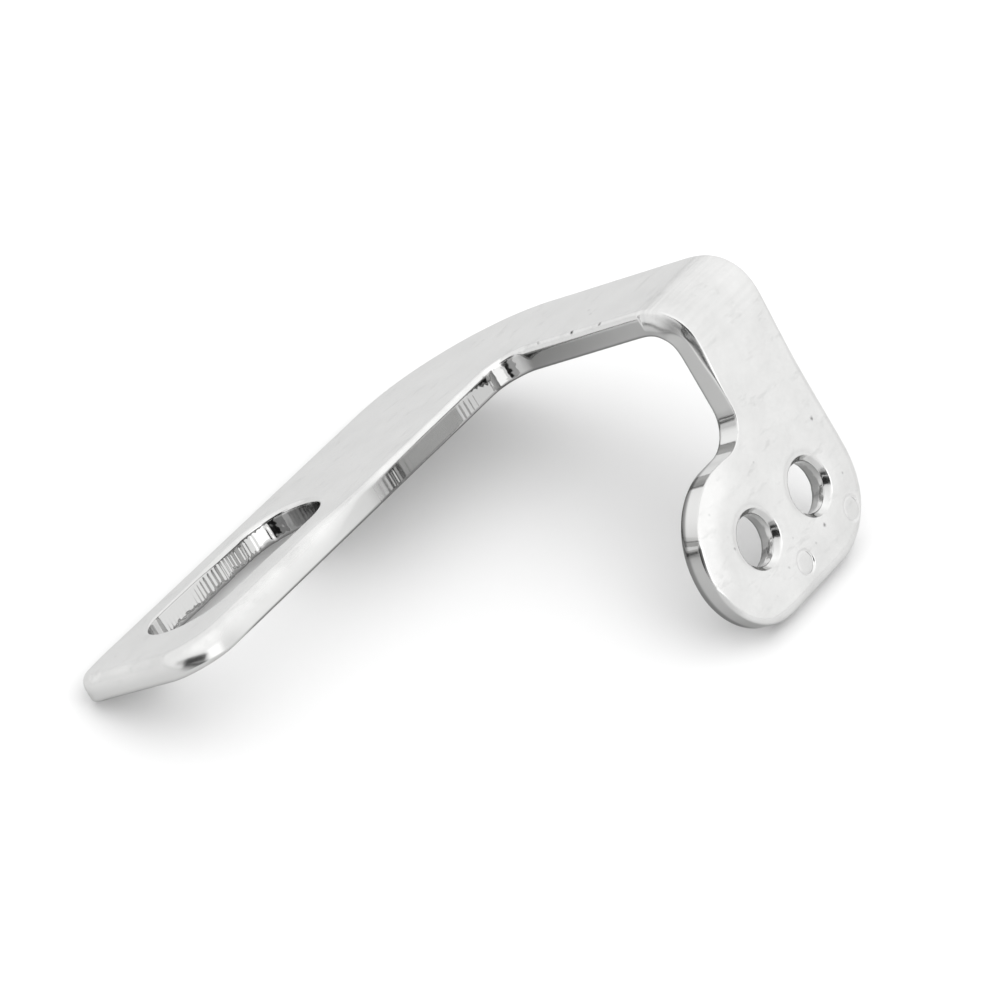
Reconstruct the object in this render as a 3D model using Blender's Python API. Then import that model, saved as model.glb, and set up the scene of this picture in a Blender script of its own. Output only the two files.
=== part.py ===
"""Slotted angle bracket, pressed from one piece of plated steel sheet.

The bracket is made as the real one is: a flat blank is punched with its slot and screw holes, the
punch rolls the edge of one face, a press folds the foot down square, and two small marks are struck
in the foot. The blank is drawn in its own frame: X runs along the arm, whose tip is at -X, Y runs
along the neck, whose foot is at -Y, and the face that the punch rolls is at Z = 0. An empty then
stands the folded bracket on its two lower edges, with the bend uppermost.
"""
import math

import bmesh
import bpy
from mathutils import Matrix, Vector

# Sheet
SHEET_THICKNESS = 0.0020
EDGE_ROLL_RADIUS = 0.0004
BEND_INSIDE_RADIUS = 0.0012

# Arm, from the neck's outer edge to the tip
ARM_REACH = 0.0490
OUTER_CORNER_RADIUS = 0.0120
INNER_CORNER_RADIUS = 0.0025
TIP_OUTER_RADIUS = 0.0022
TIP_INNER_RADIUS = 0.0038

# Slot, with the lips of metal on its two sides and the metal left at the tip
SLOT_WIDTH = 0.0076
SLOT_TRAVEL = 0.0101
SLOT_OUTER_LIP = 0.0021
SLOT_INNER_LIP = 0.0033
SLOT_TIP_MARGIN = 0.0049

# Neck and foot: the offset runs from the arm's outer edge to the foot's outer face,
# and the drop from the arm's top face to the row of screw holes
NECK_WIDTH = 0.0086
FOOT_OFFSET = 0.0308
FOOT_DROP = 0.0176
FOOT_END_RADIUS = 0.0062
EAR_FILLET_RADIUS = 0.0023

# Screw holes, the first one counted from the neck's outer edge
HOLE_DIAMETER = 0.0041
HOLE_INSET = 0.0057
HOLE_PITCH = 0.0073

# Struck marks: each lies beside its hole, towards the neck's outer edge, above the foot's lower edge
MARK_DIAMETER = 0.0021
MARK_DEPTH = 0.00012
MARK_SHIFT = 0.0027
MARK_RISE = 0.00245

# Finish
PLATE_COLOUR = (0.78, 0.78, 0.77, 1.0)
PLATE_ROUGHNESS = 0.18

# Fineness of the facets, and the angle from which an edge between two of them is shown sharp
ARC_STEP = math.radians(6.0)
ROLL_RESOLUTION = 2
BEND_STEPS = 10
MARK_SIDES = 32
WELD_DISTANCE = 0.00001
SHARP_ANGLE = math.radians(35.0)

# The largest share of the sheet's thickness, or of a slot's lip, that the rolled edge may take
ROLL_SHARE = 0.4

# Derived sizes
ARM_WIDTH = SLOT_OUTER_LIP + SLOT_WIDTH + SLOT_INNER_LIP
BEND_OUTSIDE_RADIUS = BEND_INSIDE_RADIUS + SHEET_THICKNESS
BEND_LENGTH = (BEND_INSIDE_RADIUS + SHEET_THICKNESS / 2) * math.pi / 2
BEND_START = FOOT_OFFSET - BEND_OUTSIDE_RADIUS
BEND_END = BEND_START + BEND_LENGTH
FOOT_HEIGHT = FOOT_DROP + FOOT_END_RADIUS
HOLE_ROW = BEND_END + FOOT_DROP - BEND_OUTSIDE_RADIUS
HOLE_PLACES = [HOLE_INSET, HOLE_INSET + HOLE_PITCH]
EDGE_ROLL = min(EDGE_ROLL_RADIUS, ROLL_SHARE * min(SHEET_THICKNESS, SLOT_OUTER_LIP, SLOT_INNER_LIP))
TILT = math.atan2(FOOT_HEIGHT - SHEET_THICKNESS, FOOT_OFFSET - SHEET_THICKNESS)


def collection(name):
    """A new collection in the scene."""
    made = bpy.data.collections.new(name)
    bpy.context.scene.collection.children.link(made)
    return made


def plated_steel():
    """Bright nickel plate on steel."""
    material = bpy.data.materials.new("bright_plate")
    material.use_nodes = True
    shader = material.node_tree.nodes["Principled BSDF"]
    shader.inputs["Base Color"].default_value = PLATE_COLOUR
    shader.inputs["Metallic"].default_value = 1.0
    shader.inputs["Roughness"].default_value = PLATE_ROUGHNESS
    material.diffuse_color = PLATE_COLOUR
    return material


def arc(centre, radius, start, turn):
    """Points along an arc, from the angle start through the angle turn."""
    steps = max(2, math.ceil(abs(turn) / ARC_STEP))
    angles = [start + turn * i / steps for i in range(steps + 1)]
    return [centre + radius * Vector((math.cos(a), math.sin(a))) for a in angles]


def rounded_outline(corners):
    """Points round a closed outline of (corner, radius) pairs, each corner replaced by its arc.

    Where two arcs would pass each other on the side between them, both shrink to share it.
    """
    count = len(corners)
    points = [Vector(corner) for corner, radius in corners]
    sides = [(points[(i + 1) % count] - points[i]) for i in range(count)]
    turns = [sides[i - 1].angle_signed(sides[i]) * -1 for i in range(count)]
    setbacks = [radius * math.tan(abs(turn) / 2) for (corner, radius), turn in zip(corners, turns)]
    shares = [min(1.0, sides[i].length / (setbacks[i] + setbacks[(i + 1) % count])) for i in range(count)]
    outline = []
    for i, (corner, radius) in enumerate(corners):
        share = min(shares[i - 1], shares[i])
        entry = points[i] - sides[i - 1].normalized() * setbacks[i] * share
        inward = Vector((-sides[i - 1].y, sides[i - 1].x)).normalized() * math.copysign(1, turns[i])
        centre = entry + inward * radius * share
        spoke = entry - centre
        outline += arc(centre, radius * share, math.atan2(spoke.y, spoke.x), turns[i])
    return outline


def bracket_outline():
    """The blank's outer edge, from the tip round the neck and the foot and back along the arm."""
    ear_end = HOLE_PLACES[-1] + FOOT_END_RADIUS
    foot_bottom = HOLE_ROW + FOOT_END_RADIUS
    ear_top = HOLE_ROW - FOOT_END_RADIUS
    corners = [
        ((ARM_REACH, 0.0), TIP_OUTER_RADIUS),
        ((ARM_REACH, ARM_WIDTH), TIP_INNER_RADIUS),
        ((NECK_WIDTH, ARM_WIDTH), INNER_CORNER_RADIUS),
        ((NECK_WIDTH, ear_top), EAR_FILLET_RADIUS),
        ((ear_end, ear_top), FOOT_END_RADIUS),
        ((ear_end, foot_bottom), FOOT_END_RADIUS),
        ((0.0, foot_bottom), FOOT_END_RADIUS),
        ((0.0, 0.0), OUTER_CORNER_RADIUS),
    ]
    return rounded_outline(corners)


def slot_outline():
    """The slot: two straight sides and two round ends, wound against the outer edge."""
    radius = SLOT_WIDTH / 2
    across = SLOT_OUTER_LIP + radius
    far = ARM_REACH - SLOT_TIP_MARGIN - radius
    near = far - SLOT_TRAVEL
    near_end = arc(Vector((near, across)), radius, -math.pi / 2, -math.pi)
    far_end = arc(Vector((far, across)), radius, math.pi / 2, -math.pi)
    return near_end + far_end


def hole_outline(place):
    """A round screw hole, wound against the outer edge."""
    return arc(Vector((place, HOLE_ROW)), HOLE_DIAMETER / 2, 0.0, -2 * math.pi)


def add_spline(curve, outline):
    """Add a closed outline to a curve, turned half round so that the tip points to -X."""
    points = []
    for point in outline:
        if not points or (point - points[-1]).length > WELD_DISTANCE:
            points.append(point)
    if (points[0] - points[-1]).length < WELD_DISTANCE:
        points.pop()
    spline = curve.splines.new("POLY")
    spline.points.add(len(points) - 1)
    for target, point in zip(spline.points, points):
        target.co = (-point.x, -point.y, 0.0, 1.0)
    spline.use_cyclic_u = True


def punched_blank():
    """The flat blank as a mesh, top face at Z = 0, with the roll on its top edges only.

    A filled curve rounds both faces alike, so it is made one roll too thick and trimmed from below.
    """
    curve = bpy.data.curves.new("blank", "CURVE")
    curve.dimensions = "2D"
    curve.fill_mode = "BOTH"
    curve.extrude = (SHEET_THICKNESS - EDGE_ROLL) / 2
    curve.bevel_depth = EDGE_ROLL
    curve.bevel_resolution = ROLL_RESOLUTION
    curve.offset = -EDGE_ROLL
    outlines = [bracket_outline(), slot_outline()]
    outlines += [hole_outline(place) for place in HOLE_PLACES]
    for outline in outlines:
        add_spline(curve, outline)
    drawn = bpy.data.objects.new("blank", curve)
    bpy.context.scene.collection.objects.link(drawn)
    evaluated = drawn.evaluated_get(bpy.context.evaluated_depsgraph_get())
    mesh = bpy.data.meshes.new_from_object(evaluated)
    bpy.data.objects.remove(drawn)
    mesh.transform(Matrix.Translation((0.0, 0.0, -(SHEET_THICKNESS + EDGE_ROLL) / 2)))
    blank = bmesh.new()
    blank.from_mesh(mesh)
    bpy.data.meshes.remove(mesh)
    bmesh.ops.remove_doubles(blank, verts=blank.verts, dist=WELD_DISTANCE)
    cut = slice_blank(blank, (0.0, 0.0, -SHEET_THICKNESS), (0.0, 0.0, -1.0), clear_outer=True)
    bmesh.ops.triangle_fill(blank, edges=cut, use_beauty=True)
    bmesh.ops.recalc_face_normals(blank, faces=blank.faces)
    return blank


def slice_blank(blank, place, normal, clear_outer=False):
    """Cut the blank by a plane and return the new edges."""
    geometry = blank.verts[:] + blank.edges[:] + blank.faces[:]
    result = bmesh.ops.bisect_plane(
        blank, geom=geometry, dist=0.0, plane_co=place, plane_no=normal, clear_outer=clear_outer
    )
    return [item for item in result["geom_cut"] if isinstance(item, bmesh.types.BMEdge)]


def fold_foot(blank):
    """Fold the foot down square: the neck turns round the bend's axis and the foot follows it."""
    for step in range(BEND_STEPS + 1):
        along = BEND_START + BEND_LENGTH * step / BEND_STEPS
        slice_blank(blank, (0.0, -along, 0.0), (0.0, -1.0, 0.0))
    for vertex in blank.verts:
        along = -vertex.co.y
        turned = min(max(along - BEND_START, 0.0), BEND_LENGTH) / BEND_LENGTH * math.pi / 2
        if turned > 0.0:
            radius = BEND_OUTSIDE_RADIUS + vertex.co.z
            past = max(along - BEND_END, 0.0)
            vertex.co.y = -(BEND_START + radius * math.sin(turned))
            vertex.co.z = radius * math.cos(turned) - BEND_OUTSIDE_RADIUS - past


def mark_cutter(index, place, cutters, parent):
    """A disc that strikes one flat-bottomed mark in the foot's outer face."""
    across = (-(place - MARK_SHIFT), -FOOT_OFFSET, MARK_RISE - FOOT_HEIGHT)
    bpy.ops.mesh.primitive_cylinder_add(vertices=MARK_SIDES, radius=MARK_DIAMETER / 2, depth=MARK_DEPTH * 2)
    cutter = bpy.context.object
    cutter.name = f"mark_cutter_{index}"
    for owner in list(cutter.users_collection):
        owner.objects.unlink(cutter)
    cutters.objects.link(cutter)
    cutter.data.transform(Matrix.Rotation(math.pi / 2, 4, "X"))
    cutter.location = across
    cutter.parent = parent
    cutter.hide_render = True
    cutter.display_type = "WIRE"
    return cutter


def standing_frame(mesh):
    """An empty that tilts the bracket on to its two lower edges, over the middle of its own box."""
    tilt = Matrix.Rotation(-TILT, 4, "X")
    turned = [tilt @ vertex.co for vertex in mesh.vertices]
    low = [min(point[axis] for point in turned) for axis in range(3)]
    high = [max(point[axis] for point in turned) for axis in range(3)]
    frame = bpy.data.objects.new("standing_frame", None)
    bpy.context.scene.collection.objects.link(frame)
    frame.rotation_euler.x = -TILT
    frame.location = (-(low[0] + high[0]) / 2, -(low[1] + high[1]) / 2, -low[2])
    return frame


def build():
    for old in list(bpy.data.objects):
        bpy.data.objects.remove(old)
    parts = collection("slotted_angle_bracket")
    cutters = collection("cutters")
    blank = punched_blank()
    fold_foot(blank)
    mesh = bpy.data.meshes.new("bracket")
    blank.to_mesh(mesh)
    blank.free()
    mesh.shade_smooth()
    mesh.set_sharp_from_angle(angle=SHARP_ANGLE)
    mesh.materials.append(plated_steel())
    frame = standing_frame(mesh)
    bracket = bpy.data.objects.new("bracket", mesh)
    parts.objects.link(bracket)
    bracket.parent = frame
    for index, place in enumerate(HOLE_PLACES):
        strike = bracket.modifiers.new(f"mark_{index}", "BOOLEAN")
        strike.operation = "DIFFERENCE"
        strike.solver = "EXACT"
        strike.object = mark_cutter(index, place, cutters, frame)


build()
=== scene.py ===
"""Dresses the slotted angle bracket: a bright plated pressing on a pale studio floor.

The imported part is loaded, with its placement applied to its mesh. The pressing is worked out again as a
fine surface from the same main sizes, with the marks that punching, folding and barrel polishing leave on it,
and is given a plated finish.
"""
import math

import bpy
import numpy as np
from mathutils import Matrix, Vector
from mathutils.geometry import delaunay_2d_cdt


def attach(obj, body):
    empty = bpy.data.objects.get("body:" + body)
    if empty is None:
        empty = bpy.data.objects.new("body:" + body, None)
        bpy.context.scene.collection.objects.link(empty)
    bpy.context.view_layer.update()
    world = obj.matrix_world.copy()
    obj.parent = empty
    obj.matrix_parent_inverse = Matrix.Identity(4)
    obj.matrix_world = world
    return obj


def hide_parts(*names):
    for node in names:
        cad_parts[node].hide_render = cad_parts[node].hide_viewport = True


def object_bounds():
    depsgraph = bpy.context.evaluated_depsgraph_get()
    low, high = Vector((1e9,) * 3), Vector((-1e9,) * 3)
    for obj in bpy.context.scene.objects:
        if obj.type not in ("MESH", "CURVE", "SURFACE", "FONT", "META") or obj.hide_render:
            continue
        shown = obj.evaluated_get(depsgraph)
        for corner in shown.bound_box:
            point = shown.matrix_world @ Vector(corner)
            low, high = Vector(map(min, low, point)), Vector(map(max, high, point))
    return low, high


bl_info = {
    "name": "Slotted Angle Bracket",
    "version": (1, 0, 0),
    "blender": (4, 5, 0),
    "location": "View3D > Sidebar > Bracket",
    "description": "Builds the plated pressing and its studio stage around the packed part",
    "category": "Object",
}

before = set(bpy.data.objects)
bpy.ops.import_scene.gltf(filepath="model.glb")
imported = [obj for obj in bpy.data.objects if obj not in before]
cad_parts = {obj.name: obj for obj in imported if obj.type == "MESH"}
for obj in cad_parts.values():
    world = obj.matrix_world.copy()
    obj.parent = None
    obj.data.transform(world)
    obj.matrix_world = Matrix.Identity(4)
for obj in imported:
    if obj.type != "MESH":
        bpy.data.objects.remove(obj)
CAD_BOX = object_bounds()
MM = 0.001


def length(name, description, default):
    """A length property, given in millimetres and kept in metres."""
    return bpy.props.FloatProperty(
        name=name, description=description, default=default * MM, min=0.0,
        subtype="DISTANCE", unit="LENGTH", precision=5,
    )


def factor(name, description, default):
    """A property for a share or a roughness, from 0 to 1."""
    return bpy.props.FloatProperty(
        name=name, description=description, default=default, min=0.0, max=1.0, subtype="FACTOR"
    )


def hue(name, description, default):
    """A colour property."""
    return bpy.props.FloatVectorProperty(
        name=name, description=description, default=default, size=3, subtype="COLOR"
    )


def strength(name, description, default, unit="NONE"):
    """A property for the strength of a light or of the surround."""
    return bpy.props.FloatProperty(name=name, description=description, default=default, min=0.0, unit=unit)


def bearing(name, description, degrees):
    """An angle property, given in degrees."""
    return bpy.props.FloatProperty(
        name=name, description=description, default=math.radians(degrees), subtype="ANGLE"
    )


class BracketSizes(bpy.types.PropertyGroup):
    """The pressing's sizes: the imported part's, but for two corners and the rolled edges, which are worn."""

    thickness: length("Sheet", "Thickness of the sheet", 2.0)
    roll: length("Edge roll", "Radius that the punch rolls round the top edge", 0.34)
    arm_roll: length("Arm roll", "Radius of the edge roll along the arm's inner side", 0.46)
    tip_roll: length("Tip roll", "Width of the edge roll at the tip, which tumbling wears most", 1.25)
    tip_drop: length("Tip drop", "Depth of the edge roll at the tip", 1.5)
    lip_roll: length("Lip roll", "Width of the edge roll beside the slot, on the arm's inner side", 1.1)
    lip_drop: length("Lip drop", "Depth of the edge roll beside the slot", 1.7)
    neck_roll: length("Neck roll", "Radius of the edge roll down the inside of the foot's neck", 0.10)
    upper_roll: length("Upper neck roll", "Width of the edge roll inside the neck, above the fold", 0.45)
    upper_drop: length("Upper neck drop", "Depth of the edge roll inside the neck, above the fold", 0.6)
    turn_roll: length("Turn roll", "Width of the flattened edge roll in the fold's second half", 0.42)
    turn_drop: length("Turn drop", "Depth of the flattened edge roll in the fold's second half", 0.52)
    fold_roll: length("Fold roll", "Width of the edge roll where the fold draws it down", 0.5)
    fold_drop: length("Fold drop", "Depth of the edge roll where the fold draws it down", 1.45)
    ear_roll: length("Ear roll", "Radius of the edge roll round the foot's ear", 0.10)
    ear_fall: length("Ear fall", "How far the face falls away to the ear's edge", 0.30)
    ear_fall_width: length("Ear fall width", "Width of the fall at the ear's edge", 1.4)
    heel_roll: length("Heel roll", "Width of the flattened edge roll at the ear's end", 0.26)
    heel_drop: length("Heel drop", "Depth of the flattened edge roll at the ear's end", 0.30)
    foot_roll: length("Foot roll", "Radius of the edge roll round the foot's outer side", 0.9)
    hole_roll: length("Hole roll", "Width of the mouth that the punch draws into a hole", 0.28)
    hole_mouth: length("Hole mouth", "Depth of the mouth that the punch draws into a hole", 0.55)
    hole_grip: length("Hole grip", "How far the sheared part of a hole stands in from its mean size", 0.10)
    hole_fall: length("Hole fall", "How far the face falls away into a hole", 0.18)
    hole_fall_width: length("Hole fall width", "Width of the fall round a hole", 0.95)
    burr: length("Lower edge", "Radius left on the lower edge by tumbling", 0.08)
    worn_burr: length("Worn lower edge", "Radius of the lower edge where it is worn, on the inner side", 0.20)
    foot_fall: length("Foot fall", "How far the foot's face falls away to its outer edge", 0.08)
    spread: length("Foot spread", "How far the foot's outer edge bulges past the neck's", 0.25)
    bend: length("Bend", "Inside radius of the fold", 1.2)
    reach: length("Arm reach", "From the neck's outer edge to the tip", 49.0)
    outer_corner: length("Outer corner", "Radius where the arm turns into the neck, outside", 12.0)
    inner_corner: length("Inner corner", "Radius where the arm turns into the neck, inside", 2.5)
    tip_outer: length("Tip, outer", "Radius of the tip's outer corner", 1.8)
    tip_inner: length("Tip, inner", "Radius of the tip's inner corner", 3.8)
    slot_width: length("Slot width", "Width of the slot", 7.6)
    slot_travel: length("Slot travel", "Between the centres of the slot's round ends", 10.1)
    slot_outer_lip: length("Outer lip", "Metal between the slot and the arm's outer edge", 2.1)
    slot_inner_lip: length("Inner lip", "Metal between the slot and the arm's inner edge", 3.3)
    slot_tip: length("Tip margin", "Metal between the slot and the tip", 4.9)
    neck: length("Neck width", "Width of the neck", 8.6)
    offset: length("Foot offset", "From the arm's outer edge to the foot's outer face", 30.8)
    drop: length("Foot drop", "From the arm's top face to the row of holes", 17.6)
    foot_end: length("Foot end", "Radius of the foot's round end", 6.2)
    ear_fillet: length("Ear fillet", "Radius between the neck and the foot's ear", 2.7)
    hole: length("Hole", "Diameter of the screw holes", 4.1)
    hole_inset: length("First hole", "From the neck's outer edge to the first hole", 5.7)
    hole_pitch: length("Hole pitch", "Between the two holes", 7.3)
    mark: length("Mark", "Diameter of the struck marks", 2.1)
    mark_depth: length("Mark depth", "Depth of the struck marks", 0.12)
    mark_shift: length("Mark shift", "From a hole to its mark, along the foot", 2.7)
    mark_rise: length("Mark rise", "From the foot's lower edge to the marks", 2.45)


class PlateFinish(bpy.types.PropertyGroup):
    """The plated finish: its colour, its roughness, how much each mark and edge changes it, and its painted
    shade and light.
    """

    colour: hue("Plate", "Colour of the clean plate", (0.65, 0.65, 0.645))
    grazing: factor("Grazing", "Share of the shine kept at a grazing view", 0.86)
    satin: factor("Satin", "Roughness of the flat faces", 0.18)
    bright: factor("Bright", "Roughness of the punched walls and rolled edges", 0.06)
    worn: factor("Worn", "Roughness of the tip, which tumbling wears most", 0.21)
    lip: factor("Lip", "Roughness of the rolled lip beside the slot", 0.42)
    striae: length("Striae", "Height of the ridges that the punch drags down the walls", 0.011)
    cloud: factor("Cloud", "How much the broad mottling shades the faces", 0.26)
    cloud_dull: factor("Dull cloud", "Roughness that the broad mottling adds or takes", 0.10)
    fleck: factor("Fleck", "How much the fine mottling shades the faces", 0.07)
    scuff: factor("Scuff", "How much the scuffs darken the faces", 0.08)
    scuff_dull: factor("Dull scuff", "Roughness that the scuffs add", 0.05)
    pit: factor("Pit", "How much a deep pit darkens the plate", 0.75)
    pit_dull: factor("Dull pit", "Roughness that a deep pit adds", 0.2)
    lines: factor("Lines", "How much the rubbed lines shade the fold", 0.44)
    # Painted shade: the punched walls are darkened for the shaded floor and parts that they mirror
    painted_wall_shade: factor("Wall tone", "Share of the plate's brightness on the punched walls", 0.74)
    torn_tone: factor("Torn tone", "Share of the plate's brightness where the metal tore", 0.62)
    # Painted shade on the lower edge, for the shaded floor below that it mirrors
    painted_edge_shade: factor("Edge tone", "Share of the plate's brightness on the lower edge", 0.30)
    # Painted shade on the slot's wall, deepest at its inner end
    painted_slot_shade: factor("Slot tone", "Share of the plate's brightness on the slot's wall", 0.9)
    painted_slot_end_shade: factor("Slot end", "Tone lost on the slot's wall at its inner end", 0.48)
    painted_slot_nook_shade: factor("Slot nook", "Tone lost besides at the very end of the slot", 0.14)
    # Painted shade in a hole's mouth, standing in for a grey reflection
    painted_mouth_shade: factor("Mouth shade", "Tone lost in a hole's mouth, on the neck's side", 0.22)
    # Painted light and shade on the ear's walls: the upper one lit up, the lower one darkened
    painted_ear_light: factor("Ear light", "How far the ear's upper wall is lit up to the faces' tone", 0.85)
    painted_ear_shade: factor("Ear shade", "Tone lost on the ear's lower wall", 0.09)
    # Painted highlight along the ear's edge
    painted_ear_highlight: factor("Ear rub", "Tone gained where the ear's edge is rubbed bright", 0.15)
    # Painted shade: the arm's face is darkened a little, to dim the floor that it mirrors
    painted_arm_shade: factor("Arm rub", "Tone lost on the arm, which is handled", 0.045)
    # Painted highlights on the arm's inner roll and on the lip beside the slot
    painted_arm_highlight: factor("Arm shine", "Tone gained on the edge roll of the arm's inner side", 0.16)
    painted_lip_highlight: factor("Lip shine", "Tone gained on the rolled lip beside the slot", 0.06)
    # Painted shade on the tip's edge roll
    painted_tip_shade: factor("Tip shade", "Tone lost on the tip's edge roll", 0.15)
    # Painted shade: dark patches on the edge roll at the heel, in the fold and under the heel
    painted_heel_shade: factor("Heel shade", "Share of the tone lost on the heel's edge roll", 0.92)
    painted_fold_shade: factor("Fold shade", "Share of the tone lost on the edge roll in the fold", 0.55)
    painted_under_heel_shade: factor("Under heel", "Share of the tone lost on the edge roll under the heel", 0.2)


class StudioStage(bpy.types.PropertyGroup):
    """The stage: floor, light, camera and the dark screens that the plate mirrors."""

    floor: hue("Floor", "Colour of the floor", (0.77, 0.77, 0.77))
    floor_half: length("Floor half", "From the object to the floor's edge", 1500.0)
    surround: strength("Surround", "Brightness of the white surround", 1.28)
    horizon: strength("Horizon", "Brightness of the surround at the horizon", 1.05)
    overhead: strength("Overhead", "Brightness of the surround overhead", 1.50)
    softbox: strength("Softbox", "Power of the softbox", 0.35, "POWER")
    top_light: strength("Top light", "Power of the light overhead", 0.6, "POWER")
    flag_reach: length("Flag reach", "Distance of the dark flag from the object", 280.0)
    flag_top: bearing("Flag top", "How high the dark flag on the camera's side stands", 21.0)
    flag_left: bearing("Flag left", "Azimuth of the dark flag's left end", -92.0)
    flag_right: bearing("Flag right", "Azimuth of the dark flag's right end", -38.0)
    lens: bpy.props.FloatProperty(
        name="Lens", description="Focal length of the camera, in millimetres", default=229.35, min=1.0
    )
    sensor: bpy.props.FloatProperty(
        name="Sensor", description="Width of the camera's sensor, in millimetres", default=36.0, min=1.0
    )
    camera_azimuth: bearing("Camera azimuth", "Azimuth that the camera looks from", -58.9149)
    camera_elevation: bearing("Camera elevation", "Elevation that the camera looks from", 38.7520)
    camera_roll: bearing("Camera roll", "How far the camera is rolled about its own axis", 1.4619)
    camera_place: bpy.props.FloatVectorProperty(
        name="Camera place", description="Where the camera stands", default=(-0.301814, -0.182772, 0.293712),
        size=3, subtype="TRANSLATION", unit="LENGTH",
    )


class Value:
    """A node socket that takes part in Python expressions, each of which adds its Math nodes."""

    def __init__(self, tree, socket=None):
        self.tree = tree
        self.socket = socket

    def node(self, kind, settings=None, inputs=None, output=0):
        """Add a node of a kind: its settings are set first, then its sockets get values or links."""
        made = self.tree.nodes.new(kind)
        for name, setting in (settings or {}).items():
            setattr(made, name, setting)
        for name, value in (inputs or {}).items():
            if isinstance(value, Value):
                self.tree.links.new(value.socket, made.inputs[name])
            else:
                made.inputs[name].default_value = value
        return Value(self.tree, made.outputs[output])

    def maths(self, operation, *values):
        return self.node("ShaderNodeMath", {"operation": operation}, dict(enumerate(values)))

    def __add__(self, other):
        return self.maths("ADD", self, other)

    def __sub__(self, other):
        return self.maths("SUBTRACT", self, other)

    def __rsub__(self, other):
        return self.maths("SUBTRACT", other, self)

    def __mul__(self, other):
        return self.maths("MULTIPLY", self, other)

    __radd__ = __add__
    __rmul__ = __mul__


def attribute(base, name, output="Fac"):
    """The values that a mesh keeps under a name."""
    return base.node("ShaderNodeAttribute", {"attribute_name": name}, output=output)


def smooth_step(value, over, ends):
    """A smooth step of a Value, which goes from the first end to the second over a span."""
    (low, high), (first, last) = over, ends
    return value.node(
        "ShaderNodeMapRange", {"interpolation_type": "SMOOTHSTEP"},
        {"Value": value, "From Min": low, "From Max": high, "To Min": first, "To Max": last},
    )


def fresh_material(name):
    """A new material, its Principled shader and a Value to build on."""
    material = bpy.data.materials.new(name)
    material.use_nodes = True
    shader = material.node_tree.nodes["Principled BSDF"]
    return material, shader, Value(material.node_tree)


def feed(shader, name, value):
    """Link a Value to a shader's socket, or set the socket itself."""
    if isinstance(value, Value):
        value.tree.links.new(value.socket, shader.inputs[name])
    else:
        shader.inputs[name].default_value = value


# Pits and specks in the plate, in millimetres: place on the blank and radius. Those of the foot are counted
# from the row of holes. A pit of the deep radius is quite dark, and a smaller one is fainter.
DEEP_PIT = 0.20
PIT_FADE = 3
PIT_REACH = 1.2
PIT_RAGGED = 2.2
ARM_PITS = (
    (9.4, 13.6, -0.5, 0.20), (10.1, 13.2, -0.4, 0.14), (11.2, 13.0, -0.4, 0.14), (8.4, 16.8, 0.0, 0.19),
    (8.3, 20.3, 0.0, 0.22), (8.4, 23.2, 0.0, 0.20), (4.9, 19.6, 0.0, 0.16), (5.8, 20.4, 0.0, 0.16),
    (46.2, 2.5, 0.0, 0.14), (40.9, 1.2, 0.0, 0.12),
)
FOOT_PITS = (
    (2.0, -3.6, 0.0, 0.20), (9.4, -7.0, 0.0, 0.12), (9.6, -4.5, 0.0, 0.13), (6.3, 2.1, 0.0, 0.15),
    (6.5, 2.9, 0.0, 0.18), (8.2, 3.4, 0.0, 0.12), (10.0, 1.8, 0.0, 0.12), (11.9, 3.2, 0.0, 0.13),
    (14.4, 4.1, 0.0, 0.12), (15.7, -0.9, 0.0, 0.16), (2.1, 1.1, 0.0, 0.14), (16.2, -4.1, 0.0, 0.11),
    (6.5, -7.6, 0.0, 0.10),
)

# The noises of the plate, over the blank in millimetres, and how the rubbed lines and smudges are drawn out
CLOUD = {"Scale": 0.26, "Detail": 4.0, "Roughness": 0.62}
FLECK = {"Scale": 2.4, "Detail": 3.0, "Roughness": 0.65}
RUBBED = {"Scale": 1.0, "Detail": 3.0, "Roughness": 0.6}
SMUDGE = {"Scale": 0.9, "Detail": 4.0, "Roughness": 0.7}
RUBBED_DRAWN = (0.10, 3.2, 1.0)
SMUDGE_DRAWN = {"Rotation": (0.0, 0.0, 0.6), "Scale": (0.35, 1.1, 1.0)}
SCUFF_SPAN = (0.54, 0.70)

# Relief of the plate: the fine mottling, lines and pits against the broad mottling, and the bump's height
FLECK_RELIEF = 0.6
LINE_RELIEF = 40.0
PIT_RELIEF = 4.0
RELIEF = {"Strength": 0.25, "Distance": 0.000004}


def pit_depth(base, blank, fleck, row):
    """How deep in a pit each point lies, from 0 to 1: the deepest of a smooth step down round each pit."""
    depth = fleck * 0.0
    for x, y, z, radius in ARM_PITS + tuple((x, row + y, z, radius) for x, y, z, radius in FOOT_PITS):
        gap = base.node("ShaderNodeVectorMath", {"operation": "DISTANCE"}, {0: blank, 1: (x, y, z)}, "Value")
        ragged = gap + (fleck - 0.5) * radius * PIT_RAGGED
        spot = smooth_step(ragged, (0.0, radius * PIT_REACH), ((radius / DEEP_PIT) ** PIT_FADE, 0.0))
        depth = depth.maths("MAXIMUM", depth, spot)
    return depth


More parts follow.
